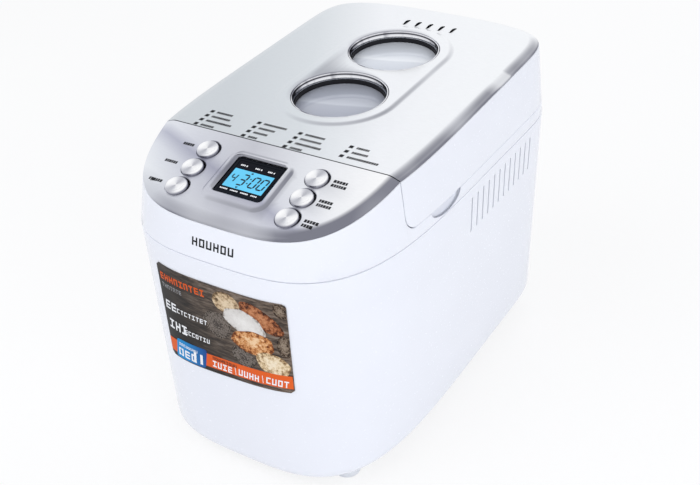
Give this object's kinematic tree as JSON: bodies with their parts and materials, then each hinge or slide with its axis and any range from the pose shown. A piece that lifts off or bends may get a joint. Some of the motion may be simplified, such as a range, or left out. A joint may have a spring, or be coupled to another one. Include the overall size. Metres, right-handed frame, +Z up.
{
  "type": "bread machine",
  "caption": "Countertop bread machine: white tapered housing, hinged steel-topped lid with round windows, sloping button panel with display, removable pan with kneading paddles.",
  "frame": {"origin": "on the floor under the middle of the footprint", "axes": "+X to the machine's right seen from the front, +Y to the rear (hinge side), +Z up; the control panel faces -Y"},
  "size_m": [0.25, 0.3982, 0.2945],
  "materials": {
    "white_gloss": "moulded, glossy",
    "soft_white": "moulded, matt",
    "black_plastic": "fine grain",
    "label_print": "glossy print",
    "brushed_top": "brushed across",
    "lcd_glass": "clear",
    "lcd_light": "backlit display",
    "circuit_board": "solder mask",
    "button_metal": "spun",
    "oven_metal": "rolled sheet",
    "seal_rubber": "matt",
    "window_chrome": "polished",
    "window_glass": "clear",
    "plain_steel": "drawn",
    "nonstick": "non-stick coating",
    "bearing_brass": "sintered"
  },
  "bodies": {
    "machine": {"main_housing": "white_gloss", "upper_collar": "white_gloss", "base_plate": "soft_white", "foot_front_left": "soft_white", "foot_front_right": "soft_white", "foot_rear_left": "soft_white", "foot_rear_right": "soft_white", "cord_inlet": "black_plastic", "front_label": "label_print", "control_fascia": "brushed_top", "lcd_bezel": "black_plastic", "lcd_lens": "lcd_glass", "lcd_module": "lcd_light", "control_board": "circuit_board", "hinge_pin_left": "plain_steel", "hinge_pin_right": "plain_steel", "baking_chamber": "oven_metal", "heating_element": "plain_steel", "temperature_probe": "plain_steel", "pan_clip_front": "plain_steel", "pan_clip_rear": "plain_steel", "shaft_bearing_front": "bearing_brass", "shaft_bearing_rear": "bearing_brass", "belt_motor": "seal_rubber", "belt_cross": "seal_rubber", "motor": "plain_steel", "drive_chassis": "plain_steel", "motor_capacitor": "soft_white", "power_board": "circuit_board"},
    "lid": {"lid_shell": "white_gloss", "lid_top_panel": "brushed_top", "lid_liner": "oven_metal", "lid_seal": "seal_rubber", "window_ring_front": "window_chrome", "window_ring_rear": "window_chrome", "window_glass_front": "window_glass", "window_glass_rear": "window_glass"},
    "pan": {"bread_pan": "nonstick"},
    "bail": {"pan_bail": "plain_steel"},
    "kneader_front": {"pan_shaft_front": "plain_steel", "paddle_front": "nonstick"},
    "kneader_rear": {"pan_shaft_rear": "plain_steel", "paddle_rear": "nonstick"},
    "drive_front": {"drive_shaft_front": "plain_steel", "pulley_front": "soft_white"},
    "drive_rear": {"drive_shaft_rear": "plain_steel", "pulley_rear": "soft_white"},
    "motor_rotor": {"motor_shaft": "plain_steel", "motor_pulley": "soft_white"},
    "key_left_1": {"button_left_1": "button_metal"},
    "key_left_2": {"button_left_2": "button_metal"},
    "key_left_3": {"button_left_3": "button_metal"},
    "key_right_1": {"button_right_1": "button_metal"},
    "key_right_2": {"button_right_2": "button_metal"},
    "key_right_3": {"button_right_3": "button_metal"}
  },
  "joints": [
    {"name": "lid_hinge", "type": "hinge", "parent": "machine", "child": "lid", "pos_m": [0, 0.19052, 0.2404], "axis": [-1, 0, 0], "range_deg": [0, 80]},
    {"name": "pan_lift", "type": "slide", "parent": "machine", "child": "pan", "axis": [0, 0, 1], "range_m": [0, 0.098]},
    {"name": "bail_swing", "type": "hinge", "parent": "pan", "child": "bail", "pos_m": [0, 0.0395, 0.2065], "axis": [-1, 0, 0], "range_deg": [0, 80.01]},
    {"name": "drive_spin_front", "type": "hinge", "parent": "machine", "child": "drive_front", "pos_m": [0, -0.0085, 0.04], "axis": [0, 0, 1], "continuous": true},
    {"name": "drive_spin_rear", "type": "hinge", "parent": "machine", "child": "drive_rear", "pos_m": [0, 0.0875, 0.04], "axis": [0, 0, 1], "continuous": true},
    {"name": "motor_spin", "type": "hinge", "parent": "machine", "child": "motor_rotor", "pos_m": [0, -0.143, 0.04], "axis": [0, 0, 1], "continuous": true},
    {"name": "paddle_spin_front", "type": "hinge", "parent": "pan", "child": "kneader_front", "pos_m": [0, -0.0085, 0.09], "axis": [0, 0, 1], "continuous": true},
    {"name": "paddle_spin_rear", "type": "hinge", "parent": "pan", "child": "kneader_rear", "pos_m": [0, 0.0875, 0.09], "axis": [0, 0, 1], "continuous": true},
    {"name": "key_press_left_1", "type": "slide", "parent": "machine", "child": "key_left_1", "axis": [0, 0.2762, -0.9611], "range_m": [0, 0.0015], "stiffness_N_per_m": 400, "springref_m": -0.001},
    {"name": "key_press_left_2", "type": "slide", "parent": "machine", "child": "key_left_2", "axis": [0, 0.2762, -0.9611], "range_m": [0, 0.0015], "stiffness_N_per_m": 400, "springref_m": -0.001},
    {"name": "key_press_left_3", "type": "slide", "parent": "machine", "child": "key_left_3", "axis": [0, 0.2762, -0.9611], "range_m": [0, 0.0015], "stiffness_N_per_m": 400, "springref_m": -0.001},
    {"name": "key_press_right_1", "type": "slide", "parent": "machine", "child": "key_right_1", "axis": [0, 0.2762, -0.9611], "range_m": [0, 0.0015], "stiffness_N_per_m": 400, "springref_m": -0.001},
    {"name": "key_press_right_2", "type": "slide", "parent": "machine", "child": "key_right_2", "axis": [0, 0.2762, -0.9611], "range_m": [0, 0.0015], "stiffness_N_per_m": 400, "springref_m": -0.001},
    {"name": "key_press_right_3", "type": "slide", "parent": "machine", "child": "key_right_3", "axis": [0, 0.2762, -0.9611], "range_m": [0, 0.0015], "stiffness_N_per_m": 400, "springref_m": -0.001}
  ],
  "couplings": [
    {"joint": "pan_lift", "follows": "lid_hinge", "m_per_rad": 0.07},
    {"joint": "bail_swing", "follows": "lid_hinge", "ratio": 1},
    {"joint": "drive_spin_rear", "follows": "drive_spin_front", "ratio": 1},
    {"joint": "motor_spin", "follows": "drive_spin_front", "ratio": 5},
    {"joint": "paddle_spin_front", "follows": "drive_spin_front", "ratio": 1},
    {"joint": "paddle_spin_rear", "follows": "drive_spin_front", "ratio": 1}
  ]
}
